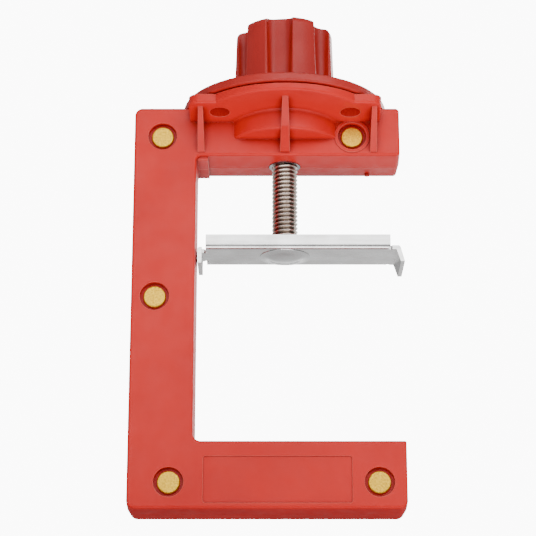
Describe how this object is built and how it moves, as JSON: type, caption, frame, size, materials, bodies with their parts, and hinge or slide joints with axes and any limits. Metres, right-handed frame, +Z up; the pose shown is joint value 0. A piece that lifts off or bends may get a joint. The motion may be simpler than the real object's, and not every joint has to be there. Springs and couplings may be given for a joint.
{
  "type": "lockable screw clamp",
  "caption": "C-shaped red plastic lockout clamp: a fluted knob with a holed locking disc drives a threaded screw and a channel pressure plate towards a fixed lower jaw.",
  "frame": {"origin": "foot of the screw axis, on the flat base of the lower arm, at the parting plane of the two shells", "axes": "+Z up along the clamp screw towards the knob, -Y towards the face with the lock flange, +X from the spine towards the open end of the C"},
  "size_m": [0.0997, 0.076, 0.1863],
  "materials": {
    "shell_red": "moulded red nylon with a fine grain",
    "knob_red": "moulded red nylon, a little darker",
    "rivet_brass": "satin brass, slightly tarnished",
    "washer_steel": "plain zinc-plated",
    "sleeve_steel": "turned, bright",
    "spring_steel": "spring steel, grey",
    "screw_steel": "rolled thread, stainless",
    "plate_steel": "pressed sheet, stainless"
  },
  "bodies": {
    "frame": {"front_shell": "shell_red", "back_shell": "shell_red", "rivet_1": "rivet_brass", "rivet_2": "rivet_brass", "rivet_3": "rivet_brass", "rivet_4": "rivet_brass", "rivet_5": "rivet_brass", "rivet_washer_1": "washer_steel", "rivet_washer_2": "washer_steel", "rivet_washer_3": "washer_steel", "rivet_washer_4": "washer_steel", "rivet_washer_5": "washer_steel", "thrust_washer_lower": "washer_steel", "thrust_washer_upper": "washer_steel"},
    "knob": {"knob": "knob_red", "sleeve_nut": "sleeve_steel", "snap_ring": "spring_steel"},
    "screw": {"clamp_screw": "screw_steel", "pressure_plate": "plate_steel", "push_ring": "spring_steel"}
  },
  "joints": [
    {"name": "knob_spin", "type": "hinge", "parent": "frame", "child": "knob", "pos_m": [0, 0, 0.1491], "axis": [0, 0, 1], "range_deg": [-5440, 9070]},
    {"name": "screw_travel", "type": "slide", "parent": "frame", "child": "screw", "axis": [0, 0, 1], "range_m": [-0.04, 0.024]}
  ],
  "couplings": [
    {"joint": "screw_travel", "follows": "knob_spin", "m_per_rad": -0.00025266}
  ]
}
